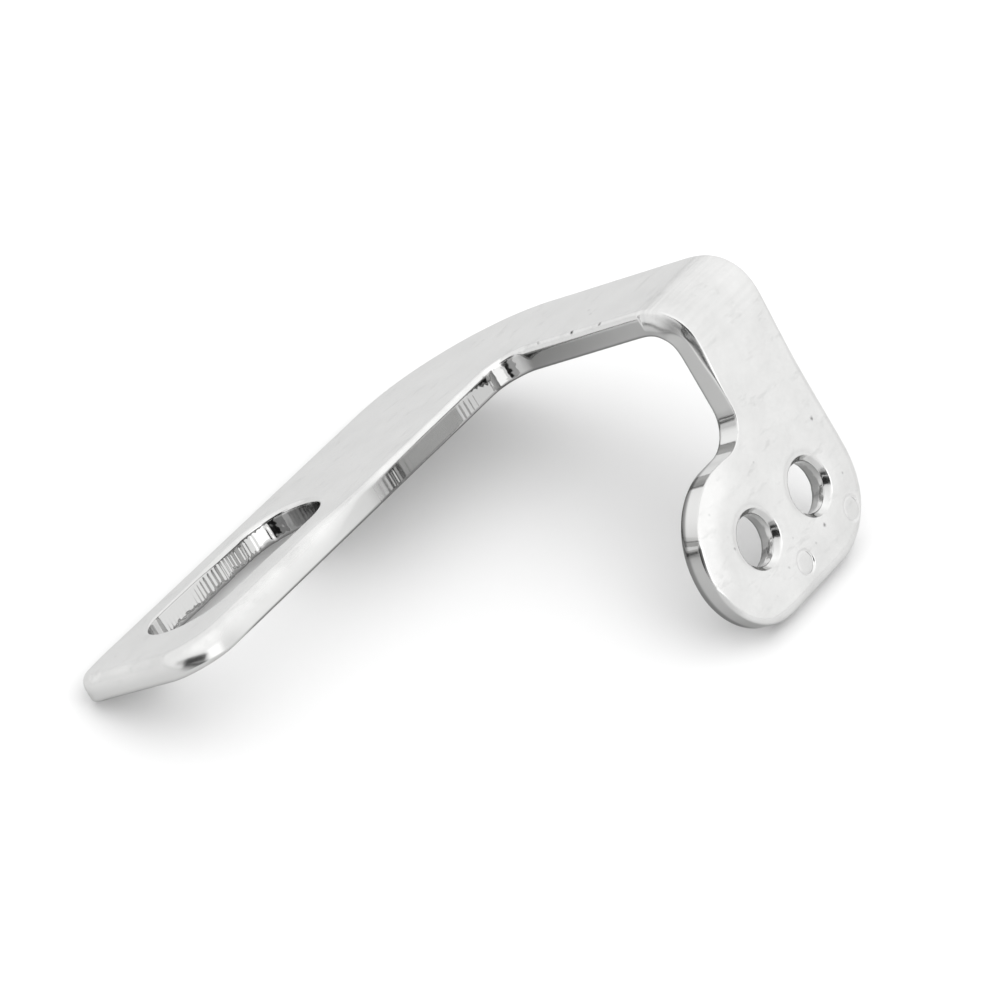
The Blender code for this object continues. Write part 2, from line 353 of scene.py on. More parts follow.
def plated_steel(finish, shape):
    """Bright plate: satin faces with faint mottling and pits, rubbed lines on the fold, and brighter walls.

    The mesh's own attributes say where a point lies: blank is its place on the flat blank in millimetres,
    wall goes from 0 on a face to 1 on a punched wall, tone is the share of the plate's brightness, lower
    where the metal tore and holding the painted shade and painted highlights, fold is 1 on the fold's first
    line, and dull is the roughness.
    """
    material, shader, base = fresh_material("bright_plate")
    blank = attribute(base, "blank", "Vector")
    face = 1.0 - attribute(base, "wall")
    cloud = base.node("ShaderNodeTexNoise", inputs={"Vector": blank, **CLOUD})
    fleck = base.node("ShaderNodeTexNoise", inputs={"Vector": blank, **FLECK})
    drawn = base.node("ShaderNodeVectorMath", {"operation": "MULTIPLY"}, {0: blank, 1: RUBBED_DRAWN})
    rubbed = base.node("ShaderNodeTexNoise", inputs={"Vector": drawn, **RUBBED})
    slanted = base.node("ShaderNodeMapping", inputs={"Vector": blank, **SMUDGE_DRAWN})
    smudge = base.node("ShaderNodeTexNoise", inputs={"Vector": slanted, **SMUDGE})
    scuff = smooth_step(smudge, SCUFF_SPAN, (0.0, 1.0))
    pit = pit_depth(base, blank, fleck, shape.hole_row / MM)
    mottle = face * ((cloud - 0.5) * finish.cloud + (fleck - 0.5) * finish.fleck - scuff * finish.scuff)
    lines = attribute(base, "fold") * face * (rubbed - 0.5) * finish.lines
    # The brightness share brings in the painted shade and painted highlights of walls, rolls and faces
    shade = (1.0 + mottle + lines) * (1.0 - pit * finish.pit) * attribute(base, "tone_and_painted_light")
    plate = tuple(finish.colour)
    tint = base.node("ShaderNodeVectorMath", {"operation": "SCALE"}, {0: plate, "Scale": shade})
    height = face * (fleck * FLECK_RELIEF + cloud) + lines * LINE_RELIEF - pit * PIT_RELIEF
    bump = base.node("ShaderNodeBump", inputs={"Height": height, **RELIEF}, output="Normal")
    uneven = face * ((cloud - 0.5) * finish.cloud_dull + scuff * finish.scuff_dull) + pit * finish.pit_dull
    feed(shader, "Metallic", 1.0)
    feed(shader, "Base Color", tint)
    feed(shader, "Roughness", attribute(base, "dull") + uneven)
    feed(shader, "Specular Tint", (finish.grazing, finish.grazing, finish.grazing, 1.0))
    feed(shader, "Normal", bump)
    return material


def matt(shader, colour, roughness=1.0):
    """Make a shader matt, with no shine."""
    feed(shader, "Base Color", colour)
    feed(shader, "Roughness", roughness)
    feed(shader, "Specular IOR Level", 0.0)


def floor_paper(stage):
    """Matt white paper."""
    material, shader, _ = fresh_material("floor_paper")
    matt(shader, (*stage.floor, 1.0), 0.9)
    return material


def rounded_outline(corners, radii, steps=64):
    """A closed outline whose corners are replaced by arcs.

    The arc at a corner starts a setback of r tan(turn / 2) before it. Its centre lies r to the side
    that the outline turns to, and its points are centre + r (cos a, sin a) as a goes through the turn.
    """
    corners = np.array(corners)
    radii = np.array(radii)
    arriving = corners - np.roll(corners, 1, axis=0)
    leaving = np.roll(arriving, -1, axis=0)
    heading = np.arctan2(arriving[:, 1], arriving[:, 0])
    turn = (np.arctan2(leaving[:, 1], leaving[:, 0]) - heading + np.pi) % (2 * np.pi) - np.pi
    side = np.sign(turn)
    ahead = np.column_stack([np.cos(heading), np.sin(heading)])
    left = np.column_stack([-np.sin(heading), np.cos(heading)])
    entry = corners - ahead * (radii * np.tan(np.abs(turn) / 2))[:, None]
    centre = entry + left * (side * radii)[:, None]
    angle = (heading - side * np.pi / 2)[:, None] + turn[:, None] * np.linspace(0.0, 1.0, steps)
    arcs = centre[:, None, :] + radii[:, None, None] * np.stack([np.cos(angle), np.sin(angle)], axis=-1)
    return arcs.reshape(-1, 2)


def circle(centre, radius, steps=256):
    """A circle wound clockwise, as the edge of a hole is."""
    angle = -np.linspace(0.0, 2 * np.pi, steps, endpoint=False)
    return np.array(centre) + radius * np.column_stack([np.cos(angle), np.sin(angle)])


def even_steps(outline, spacing):
    """The outline taken again at even steps of its own length, with the run of length at each point."""
    closed = np.vstack([outline, outline[:1]])
    step = np.hypot(*np.diff(closed, axis=0).T)
    closed = closed[np.r_[True, step > 1e-9]]
    run = np.r_[0.0, np.cumsum(step[step > 1e-9])]
    count = int(round(run[-1] / spacing))
    even = np.arange(count) * run[-1] / count
    return np.column_stack([np.interp(even, run, closed[:, 0]), np.interp(even, run, closed[:, 1])]), even


def outward(points):
    """Unit normals that point out of the metal: the tangent between a point's neighbours, turned right."""
    along = np.roll(points, -1, axis=0) - np.roll(points, 1, axis=0)
    along /= np.hypot(*along.T)[:, None]
    return np.column_stack([along[:, 1], -along[:, 0]])


def in_metal(points, rings):
    """Even-odd count: a point lies in the metal if a ray along +X crosses the rings an odd count of times."""
    inside = []
    for block in np.array_split(points, max(1, len(points) // 1500)):
        x, y = block[:, :1], block[:, 1:]
        crossings = np.zeros(len(block), int)
        for ring in rings:
            ax, ay = ring.T
            bx, by = np.roll(ring, -1, axis=0).T
            spans = (ay > y) != (by > y)
            rise = np.where(by == ay, 1.0, by - ay)
            crossings += (spans & (x < ax + (y - ay) * (bx - ax) / rise)).sum(axis=1)
        inside.append(crossings % 2 == 1)
    return np.concatenate(inside)


def fill_face(rings, inner):
    """Triangles over a flat face: a net on the rings' points and the inner ones, kept where metal is."""
    points = np.vstack([*rings, inner])
    starts = np.cumsum([0] + [len(ring) for ring in rings])
    links = [
        np.column_stack([start + np.arange(len(ring)), start + (np.arange(len(ring)) + 1) % len(ring)])
        for start, ring in zip(starts, rings)
    ]
    net = delaunay_2d_cdt((points / MM).tolist(), np.vstack(links).tolist(), [], 0, 1e-7, False)
    if len(net[0]) != len(points):
        raise RuntimeError("the net over the face merged or added points")
    triangles = np.array(net[2])
    triangles = triangles[in_metal(points[triangles].mean(axis=1), rings)]
    a, b, c = (points[triangles[:, i]] for i in range(3))
    area = (b - a)[:, 0] * (c - a)[:, 1] - (b - a)[:, 1] * (c - a)[:, 0]
    return np.where(area[:, None] > 0, triangles, triangles[:, ::-1])


def ring_quads(around, across, start):
    """Quads of a closed band: around points along the outline, and across points over the profile."""
    i, j = np.meshgrid(np.arange(around), np.arange(across - 1), indexing="ij")
    k = (i + 1) % around
    corners = [i * across + j, i * across + j + 1, k * across + j + 1, k * across + j]
    return start + np.stack(corners, axis=-1).reshape(-1, 4)


def noise(run, cell, seed, index):
    """Smooth noise along a line: random heights, one a cell, joined by a cubic ease, each edge its own."""
    count = 4096
    heights = np.random.default_rng(seed + index).uniform(-1.0, 1.0, count)
    place = run / cell
    low = np.floor(place).astype(int)
    part = ease(0.0, 1.0, place - low)
    return heights[low % count] * (1 - part) + heights[(low + 1) % count] * part


def ease(low, high, value):
    """A smooth step from 0 at low to 1 at high."""
    part = np.clip((value - low) / (high - low), 0.0, 1.0)
    return part * part * (3 - 2 * part)


def within(rise, fall, value):
    """A share that fades in over a first span of the value and out over a second."""
    return ease(*rise, value) * ease(*fall, value)


def span(low, high):
    """A span in metres, from two places in millimetres."""
    return low * MM, high * MM


# Which punched edge an index stands for: the outer edge, the slot, and from there on the holes
OUTER_EDGE = 0
SLOT_EDGE = 1
FIRST_HOLE = 2


class Pressing:
    """The bracket as a surface over its flat blank.

    The blank's frame has x along the arm from the neck's outer edge to the tip, y from the arm's outer
    edge to the foot and z up out of the rolled face. A profile is carried round each punched edge: it
    leaves the face, turns down through the roll, runs down the wall and turns in at the lower edge.
    The two faces between the edges are nets. The whole is folded, turned and stood up at the end.
    A zone of the edge fades in over a span of places, and where the span runs backwards it fades out.
    """

    # Spacing, rows and rings of the surface's points
    STEP = 0.11 * MM
    SLOT_STEP = 0.07 * MM
    NET = 0.6 * MM
    NET_CLEAR = 0.6
    BEND_ROW = 0.15 * MM
    MARGIN = 0.12 * MM
    ROLL_ROWS = 12
    WALL_ROWS = 11
    EDGE_ROWS = 5
    MARK_RINGS = 5
    RIM_RINGS = 12
    HOLE_RINGS = 7
    HOLE_RING_SPAN = span(0.08, 0.7)
    HOLE_RING_REACH = 0.85 * MM
    RING_POINTS = 96
    PATH_STEPS = 4001
    SLOT_ROUND = 0.9999

    # The fold: its soft start and end, its first line and its body
    SOFT_START = 1.9 * MM
    SOFT_END = 1.1 * MM
    FOLD_LINE = 1.1 * MM
    FOLD_BODY = 0.35
    FOLD_BODY_RISE = span(-0.5, 0.5)
    FOLD_BODY_FALL = span(3, -1)
    SWELL = 0.26 * MM
    SWELL_REACH = 1.5 * MM
    SWELL_NEUTRAL = 0.35
    # Where the painted shade on the fold's edge roll lies past the fold's start, and its reach
    PAINTED_FOLD_SHADE = 2.1 * MM
    PAINTED_FOLD_SHADE_REACH = 0.9 * MM

    # The struck marks: core, rim, groove, how they lean, and how far each was struck out of place
    MARK_CORE = 0.1 * MM
    MARK_EDGE = 0.16 * MM
    MARK_GROOVE = 0.08 * MM
    MARK_LEAN = (-0.8, 0.6)
    MARK_TILT = 0.8
    MARK_DISC = 0.32
    MARK_RIM = 0.40
    STRUCK = (span(0.05, -0.17), span(-0.18, 0.11))

    # The bulge of the foot's outer edge
    SPREAD_LEAD = 3 * MM
    SPREAD_FULL = 7 * MM
    SPREAD_FALL = span(-3, 1)
    SPREAD_LOST = 0.67

    # Spans along x from the neck's outer edge
    LIP_ROLL = span(27, 34)
    # The next span lifts the walls' painted shade beside the slot
    LIP_PAINTED_LIGHT = span(25.5, 27.5)
    LIP_DULL = span(23.2, 28)
    # The next span places the painted highlight on the arm's inner roll
    ARM_PAINTED_HIGHLIGHT = span(28, 24)
    NEAR_RIDGES = (span(21.5, 22.1), span(27.0, 23.6))
    FAR_RIDGES = (span(10.4, 10.9), span(15.2, 14.4))
    SLOT_RIDGES = span(37, 32)
    SLOT_CORNER = span(31, 29.5)
    # The next two spans place the painted shade at the slot's inner end
    SLOT_END = span(27.9, 27.6)
    SLOT_NOOK = span(26.85, 26.6)
    EAR_RAISED = span(9, 14)
    NECK_BACK = span(0.5, 0)

    # Spans along x from the tip's end
    TIP_ROLL = span(-4, -0.5)
    # The next span places the tip's painted light on its wall and painted shade on its roll
    TIP_PAINTED_TONE = span(-6, -3)
    TIP_DULL = span(-5, -2)
    TIP_UNDER = span(-7, -4)
    TIP_HIDDEN = span(-1, -4)

    # Spans along x from the neck's inner edge, and from the end of the inner corner
    NECK_SIDE = span(-0.2, -0.1)
    FILLET_SIDE = (span(-0.5, 0), span(4, 3))
    CORNER_RISE = span(0, 0.3)
    CORNER_FALL = span(0, -0.6)

    # Spans along x from the ear's start
    EAR_ROLL = span(0, 4)
    EAR_PAINTED_TONE = span(0, 2)

    # Spans along x from the second hole
    HEEL_END = span(2, 4)
    UNDER_HEEL_END = span(2, 3.5)
    FOOT_LOW_END = span(4.5, 0.5)

    # Spans along y from the row of holes
    ABOVE_ROW = span(1.5, -0.5)
    HEEL = (span(-3.3, -2.6), span(0.8, -2))
    UNDER_HEEL = (span(-0.5, 0.3), span(4, 2))
    UPPER_EAR = span(-2.4, -3.4)
    FILLET = (span(-7.5, -7.2), span(-6, -6.3))
    FOOT_LOW = span(1, 5)

    # Spans along y from the fold's end
    PAST_FOLD = span(0, 2)
    NECK_ROLL = span(0, 5)
    FOOT_FALL = span(0, 4)

    # Spans along y from the fold's start
    FOLD_ENTRY = span(-0.6, -0.45)
    ARM_SIDE = span(1, -1)

    # Spans along y from the arm's outer edge
    TIP_SIDE = span(-2, 3)
    OUTER_SIDE = span(2, 0)

    # Spans of distance: from a straight edge, in from the ear's round end, and from the middle of the fillet
    ON_EDGE = span(0.1, 0)
    BY_EDGE = span(0.6, 0.5)
    # The next span places the painted highlight along the ear's edge
    EAR_PAINTED_HIGHLIGHT = span(2.4, 0.9)
    FILLET_DULL = span(3.5, 2)
    FILLET_MIDDLE = 8.5 * MM

    # Spans of the share of the roll's depth: 0 on the face, 1 where the wall starts
    WALL_LOOK = (0.15, 0.9)
    # The next spans place the painted shade on the walls and rolls and the painted highlight on the rolls
    WALL_PAINTED_SHADE = (0.95, 1.1)
    ROLL_PAINTED_SHADE = ((0.05, 0.3), (1.3, 1.0))
    ROLL_PAINTED_HIGHLIGHT = ((0.0, 0.2), (1.0, 0.8))
    TIP_PAINTED_SHADE = (0.3, 1.0)
    LIP_SATIN = (0.1, 0.6)

    # Polish of the walls on the outer edge, slot and holes: the share where it starts, the share that it
    # takes to be full, and how much of it the tip has worn off
    BRIGHT_FROM = (0.85, 0.5, 0.02)
    BRIGHT_OVER = 0.4
    TIP_SOFT = 0.8

    # Span of the share of a hole's radius, from its middle towards the neck's outer edge, over which painted
    # shade darkens the mouth
    MOUTH_SIDE = (0.2, 0.9)

    # The lower edge: its span of height over the lower face, which painted shade darkens, the same on the
    # ear, how much less of that shade the tip takes, and its wear
    EDGE_SPAN = span(0.28, 0.1)
    EAR_EDGE_SPAN = span(0.73, 0.45)
    TIP_EDGE_LOST = 0.75
    EAR_WEAR = 0.4
    TIP_WEAR = 1.2

    # Noises along an edge: cell and seed
    UNEVEN_ROLL = (2.2 * MM, 60)
    RIDGE_PHASE = (1.3 * MM, 10)
    RIDGE_SWING = (0.9 * MM, 15)
    RIDGE_GRAIN = (0.13 * MM, 20)
    SLANT = (0.22 * MM, 70)
    CROSS_SLANT = (0.17 * MM, 80)
    TEAR_LINE = (0.9 * MM, 40)
    TEAR_GRAIN = (0.25 * MM, 50)

    # Ridges down the walls of the outer edge, slot and holes: pitch, wander, and strength on each stretch
    RIDGE_PITCH = (0.58 * MM, 0.47 * MM, 0.5 * MM)
    RIDGE_FADE = 0.35 * MM
    RIDGE_WANDER = 3.2
    RIDGE_MEAN = 0.8
    RIDGE_VARIES = 0.4
    RIDGE_GRAINY = 0.3
    RIDGES = 0.02
    ARM_RIDGES = 0.03
    NEAR_ARM_RIDGES = 0.24
    FAR_ARM_RIDGES = 0.5
    SLOT_WALL_RIDGES = 0.22
    SLOT_END_RIDGES = 0.6
    HOLE_RIDGES = 0.12
    ON_ARM = 0.05 * MM

    # Torn metal on the outer edge, slot and holes: depth of its line, lean, and wander of the line, and then
    # its slanting grain, which the corners have too
    TEARS = ((1.84 * MM, 0.06, 0.03 * MM), (1.66 * MM, 0.35, 0.16 * MM), (1.0 * MM, 0.22, 0.12 * MM))
    TEAR_GRAINY = 0.6
    TEAR_FADE = 0.06 * MM
    TEAR_RISE = 0.15 * MM
    TEAR_RELIEF = 0.006 * MM
    CORNER_RELIEF = 0.004 * MM
    SLANT_RUN = 2.3
    CROSS_RUN = 1.7

    # The uneven rolls, and the power that makes a roll flatter
    UNEVEN = 0.06
    UNEVEN_DEPTH = 0.5
    SLOT_THINNER = 0.5
    SLOT_FADE = 4 * MM
    HOLE_POWER = 1.7
    TURN_POWER = 1.7
    HEEL_POWER = 1.6

    def __init__(self, sizes, finish):
        self.s = sizes
        self.finish = finish
        self.bend_length = (sizes.bend + sizes.thickness / 2) * math.pi / 2
        self.path()
        self.bend_end = self.bend_start + self.bend_length
        self.bend_middle = (self.bend_start + self.bend_end) / 2
        self.holes = [sizes.hole_inset, sizes.hole_inset + sizes.hole_pitch]
        self.ear_start = sizes.neck + sizes.ear_fillet
        self.arm_width = sizes.slot_outer_lip + sizes.slot_width + sizes.slot_inner_lip

    def path(self):
        """The path of the sheet's middle through the fold, and where the fold and the row of holes lie.

        The curvature ramps up, holds and ramps down along the run. Its sum is the heading, and the sums of
        the heading's cosine and sine are the path across and down.
        """
        s = self.s
        first, last = -self.SOFT_START, self.bend_length + self.SOFT_END
        run = np.linspace(first, last, self.PATH_STEPS)
        rising = np.clip((run - first) / (2 * self.SOFT_START), 0.0, 1.0)
        curve = rising * np.clip((last - run) / (2 * self.SOFT_END), 0.0, 1.0)
        turn = np.r_[0.0, np.cumsum((curve[1:] + curve[:-1]) / 2)]
        turn *= np.pi / 2 / turn[-1]
        step = run[1] - run[0]
        across = first + np.r_[0.0, np.cumsum((np.cos(turn[1:]) + np.cos(turn[:-1])) / 2 * step)]
        down = np.r_[0.0, np.cumsum((np.sin(turn[1:]) + np.sin(turn[:-1])) / 2 * step)]
        self.fold_table = run, turn, across, down
        self.bend_start = s.offset - s.thickness / 2 - across[-1]
        self.hole_row = self.bend_start + run[-1] + s.drop - s.thickness / 2 - down[-1]

    def outlines(self):
        """The punched edges: outer edge, slot and holes, each with the spacing of its points."""
        s = self.s
        ear_end = self.holes[-1] + s.foot_end
        low = self.hole_row + s.foot_end
        top = self.hole_row - s.foot_end
        corners = (
            (s.reach, 0.0, s.tip_outer),
            (s.reach, self.arm_width, s.tip_inner),
            (s.neck, self.arm_width, s.inner_corner),
            (s.neck, top, s.ear_fillet),
            (ear_end, top, s.foot_end),
            (ear_end, low, s.foot_end),
            (0.0, low, s.foot_end),
            (0.0, 0.0, s.outer_corner),
        )
        outer = rounded_outline([corner[:2] for corner in corners], [corner[2] for corner in corners])
        x, y = outer.T
        risen = ease(self.bend_start - self.SPREAD_LEAD, self.hole_row - self.SPREAD_FULL, y)
        fallen = 1 - self.SPREAD_LOST * ease(*self.SPREAD_FALL, y - self.hole_row)
        outer[:, 0] -= s.spread * risen * fallen * ease(s.foot_end, 0.0, x)
        radius = s.slot_width / 2
        middle = s.slot_outer_lip + radius
        far = s.reach - s.slot_tip - radius
        near = far - s.slot_travel
        slot = rounded_outline(
            [(near - radius, middle - radius), (near - radius, middle + radius),
             (far + radius, middle + radius), (far + radius, middle - radius)],
            [radius * self.SLOT_ROUND] * 4,
        )
        edges = [(outer, self.STEP), (slot, self.SLOT_STEP)]
        edges += [(circle((place, self.hole_row), s.hole / 2), self.STEP) for place in self.holes]
        return edges

    def places(self, flat):
        """The blank's x and y at each point, and both again counted from the second hole."""
        x, y = flat[..., 0], flat[..., 1]
        return x, y, x - self.holes[1], y - self.hole_row

    def tip(self, flat, along):
        """Share of the tip at each point, which fades in over a span from the tip's end."""
        return ease(*along, flat[..., 0] - self.s.reach)

    def lip(self, flat, along):
        """Share of the lip at each point: the arm's inner side beside the slot, from a span of x on."""
        return ease(*along, flat[..., 0]) * ease(self.arm_width / 3, self.arm_width / 2, flat[..., 1])

    def heel(self, flat):
        """Share of the heel at each point: the ear's end, where the edge roll is flattened."""
        *_, aside, below = self.places(flat)
        return within(*self.HEEL, below) * ease(*self.HEEL_END, aside)

    def on_ear(self, flat):
        """Share of the ear's upper side at each point, and how far in from its round end the point lies."""
        x, y, aside, below = self.places(flat)
        beyond = self.s.foot_end - np.hypot(np.maximum(aside, 0.0), below)
        upper = ease(*self.ABOVE_ROW, below) * (y > self.bend_end)
        return ease(self.ear_start, self.holes[1] + MM, x) * upper, beyond

    def rolls(self, index, run, points):
        """Width, depth, lower edge's radius and power of the edge roll at each point of an outline.

        Each is a little uneven. The outer edge's roll is blended from zone to zone: wider beside the slot, at
        the tip and round the foot, narrow down the neck, shallow round the ear, and drawn down by the fold.
        """
        s = self.s
        x, y, aside, below = self.places(points)
        uneven = 1 + self.UNEVEN * noise(run, *self.UNEVEN_ROLL, index)
        level = np.ones(len(points))
        if index >= FIRST_HOLE:
            return s.hole_roll * uneven, s.hole_mouth * uneven, s.burr * level, self.HOLE_POWER * level
        if index == SLOT_EDGE:
            far_end = s.reach - s.slot_tip - s.slot_width
            thinner = self.SLOT_THINNER * ease(far_end - self.SLOT_FADE, far_end, x)
            roll = (s.roll - s.roll * thinner) * uneven
            return roll, roll, s.burr * level, level
        above_row = ease(*self.ABOVE_ROW, below)
        earward = ease(*self.EAR_ROLL, x - self.ear_start)
        on_neck = ease(*self.ON_EDGE, np.abs(x - s.neck))
        in_fold = on_neck * ease(*self.FOLD_ENTRY, y - self.bend_start)
        drawn = in_fold * ease(self.bend_end, self.bend_middle - MM, y)
        inner_arm = ease(*self.ON_EDGE, np.abs(y - self.arm_width))
        low = ease(*self.FOOT_LOW, below) * ease(*self.FOOT_LOW_END, aside)
        back = ease(s.neck / 2, 0.0, x) * ease(self.bend_end, self.hole_row - s.foot_end, y)
        foot = low + back - low * back
        tip = self.tip(points, self.TIP_ROLL) * ease(*self.TIP_SIDE, y)
        ear = earward * ease(*self.PAST_FOLD, y - self.bend_end) * above_row
        neck = ease(*self.NECK_SIDE, x - s.neck) * (1 - earward) * above_row
        neck = neck * ease(*self.NECK_ROLL, y - self.bend_end)
        zones = (
            (inner_arm, s.arm_roll, s.arm_roll, 1.0),
            (self.lip(points, self.LIP_ROLL), s.lip_roll, s.lip_drop, 1.0),
            (tip, s.tip_roll, s.tip_drop, 1.0),
            (on_neck, s.upper_roll, s.upper_drop, 1.0),
            (in_fold, s.turn_roll, s.turn_drop, self.TURN_POWER),
            (drawn, s.fold_roll, s.fold_drop, 1.0),
            (neck, s.neck_roll, s.neck_roll, 1.0),
            (ear, s.ear_roll, s.ear_roll, 1.0),
            (foot, s.foot_roll, s.foot_roll, 1.0),
            (self.heel(points), s.heel_roll, s.heel_drop, self.HEEL_POWER),
        )
        width = depth = s.roll * level
        power = level
        for share, wide, deep, flatter in zones:
            width = width + (wide - width) * share
            depth = depth + (deep - depth) * share
            power = power + (flatter - power) * share
        outer_side = ease(*self.OUTER_SIDE, y) * self.tip(points, self.TIP_HIDDEN)
        hidden = np.maximum(np.maximum(outer_side, ease(*self.NECK_BACK, x)), low)
        burr = s.worn_burr * (1 + self.EAR_WEAR * ear + self.TIP_WEAR * tip)
        depth = depth * (1 + (uneven - 1) * self.UNEVEN_DEPTH)
        return width * uneven, depth, burr + (s.burr - burr) * hidden, power

    def profile(self, width, depth, burr, power):
        """Insets and heights across an edge, a row for each point of its outline, from the roll's sizes.

        The profile leaves the face, turns through w (1 - sin a ^ p), d (cos a ^ p - 1) over the roll, runs
        straight down the wall and turns in under the lower edge. At a power p of 1 the roll is an ellipse,
        and above it the roll is flatter, like a chamfer.
        """
        s = self.s
        width, depth, burr, power = (size[:, None] for size in (width, depth, burr, power))
        turn = np.linspace(0.0, np.pi / 2, self.ROLL_ROWS)
        foot = np.linspace(0.0, np.pi / 2, self.EDGE_ROWS)
        share = np.linspace(0.0, 1.0, self.WALL_ROWS + 2)[1:-1]
        low = burr - s.thickness
        level = np.zeros_like(width)
        inset = [
            width + self.MARGIN,
            width * (1 - np.sin(turn) ** power),
            level * share,
            burr * (1 - np.cos(foot)),
            burr + self.MARGIN,
        ]
        height = [
            level,
            depth * (np.cos(turn).clip(0.0) ** power - 1),
            -depth + share * (low + depth),
            low - burr * np.sin(foot),
            level - s.thickness,
        ]
        return np.hstack(inset), np.hstack(height)

    def relief(self, index, run, points, roll, height):
        """How far a wall stands out of its true line at each point of a band, and where it is torn.

        The punch drags even ridges down the wall: a wave along the run whose phase wanders, faded out under
        the roll. Below a ragged line the metal tore instead of shearing, so the wall leans in and is uneven
        there. Round the fold the outside of the sheet draws in and the inside swells.
        """
        s = self.s
        depth = -height
        along = run[:, None]
        x, y = points[:, :1], points[:, 1:]
        below = ease(0.0, self.RIDGE_FADE, depth - roll[:, None])
        kind = min(index, FIRST_HOLE)
        phase = 2 * np.pi * along / self.RIDGE_PITCH[kind]
        wave = np.sin(phase + self.RIDGE_WANDER * noise(along, *self.RIDGE_PHASE, index))
        swing = self.RIDGE_MEAN + self.RIDGE_VARIES * noise(along, *self.RIDGE_SWING, index)
        ridges = wave * swing + self.RIDGE_GRAINY * noise(along, *self.RIDGE_GRAIN, index)
        slant = noise(along + self.SLANT_RUN * depth, *self.SLANT, index)
        slant = slant + noise(along - self.CROSS_RUN * depth, *self.CROSS_SLANT, index)
        patchy = np.full_like(x, self.HOLE_RIDGES)
        corner = np.zeros_like(x)
        if index == OUTER_EDGE:
            near = self.NEAR_ARM_RIDGES * within(*self.NEAR_RIDGES, x)
            far = self.FAR_ARM_RIDGES * within(*self.FAR_RIDGES, x)
            on_arm = np.abs(y - self.arm_width) < self.ON_ARM
            patchy = np.where(on_arm, self.ARM_RIDGES + near + far, self.RIDGES)
            turned = s.neck + s.inner_corner
            corner = ease(*self.CORNER_RISE, x - s.neck) * ease(*self.CORNER_FALL, x - turned)
            corner = corner * (y < self.bend_start)
        if index == SLOT_EDGE:
            patchy = self.SLOT_WALL_RIDGES + self.SLOT_END_RIDGES * ease(*self.SLOT_RIDGES, x)
            corner = ease(*self.SLOT_CORNER, x)
        proud = below * (self.finish.striae * patchy * ridges + self.CORNER_RELIEF * corner * slant)
        line, lean, wander = self.TEARS[kind]
        ragged = noise(along, *self.TEAR_LINE, index)
        ragged = ragged + self.TEAR_GRAINY * noise(along, *self.TEAR_GRAIN, index)
        past = np.maximum(depth - line - wander * ragged, 0.0)
        torn = ease(0.0, self.TEAR_FADE, past)
        proud = proud - lean * past + self.TEAR_RELIEF * slant * ease(0.0, self.TEAR_RISE, past)
        if index >= FIRST_HOLE:
            proud = proud + s.hole_grip * ease(0.0, s.hole_mouth, depth)
        if index == OUTER_EDGE:
            swell = self.SWELL * np.exp(-(((y - self.bend_middle) / self.SWELL_REACH) ** 2))
            proud = proud + swell * (depth / s.thickness - self.SWELL_NEUTRAL) * ease(0.0, s.roll, depth)
        return proud, torn

    def tones_and_painted_light(self, index, flat, share, torn):
        """Share of brightness on a band: painted shade and light on walls and rolls, least where the metal
        tore.
        """
        s = self.s
        finish = self.finish
        x, y, aside, below = self.places(flat)
        wall = ease(*self.WALL_PAINTED_SHADE, share)
        roll = within(*self.ROLL_PAINTED_SHADE, share)
        if index >= FIRST_HOLE:
            neckward = (self.holes[index - FIRST_HOLE] - x) / (s.hole / 2)
            # Painted shade: a hole's mouth is darker on the neck's side
            shade = finish.painted_mouth_shade * roll * ease(*self.MOUTH_SIDE, neckward)
            return 1 + (finish.torn_tone - 1) * torn - shade
        if index == SLOT_EDGE:
            # Painted shade: the slot's wall is darkened, most at its inner end
            painted_wall = finish.painted_slot_shade - finish.painted_slot_end_shade * ease(*self.SLOT_END, x)
            painted_wall = painted_wall - finish.painted_slot_nook_shade * ease(*self.SLOT_NOOK, x)
            return 1 + (painted_wall - 1) * wall + (finish.torn_tone - painted_wall) * torn
        tip = self.tip(flat, self.TIP_PAINTED_TONE)
        # Painted light and shade on the ear's walls
        on_ear = ease(*self.EAR_PAINTED_TONE, x - self.ear_start) * (y > self.bend_end)
        upper_ear = on_ear * ease(*self.UPPER_EAR, below)
        in_fillet = within(*self.FILLET, below) * within(*self.FILLET_SIDE, x - s.neck)
        # Painted light: the walls' painted shade is lifted beside the slot, at the tip, on the ear's upper
        # wall and in the fillet
        lit = np.maximum(self.lip(flat, self.LIP_PAINTED_LIGHT), tip)
        lit = np.maximum(lit, np.maximum(finish.painted_ear_light * upper_ear, in_fillet))
        painted_wall = finish.painted_wall_shade + (1 - finish.painted_wall_shade) * lit - finish.painted_ear_shade * (on_ear - upper_ear)
        # Painted highlights on the arm's inner roll and on the lip beside the slot
        inner_arm = ease(*self.BY_EDGE, np.abs(y - self.arm_width)) * ease(*self.ARM_PAINTED_HIGHLIGHT, x)
        shine = finish.painted_arm_highlight * inner_arm * within(*self.ROLL_PAINTED_HIGHLIGHT, share)
        shine = shine + finish.painted_lip_highlight * self.lip(flat, self.LIP_ROLL) * (1 - tip)
        # The painted shade and highlights come together here, less the painted shade on the tip's roll
        tone_and_painted_light = 1 + (painted_wall - 1) * wall + shine - finish.painted_tip_shade * tip * ease(*self.TIP_PAINTED_SHADE, share)
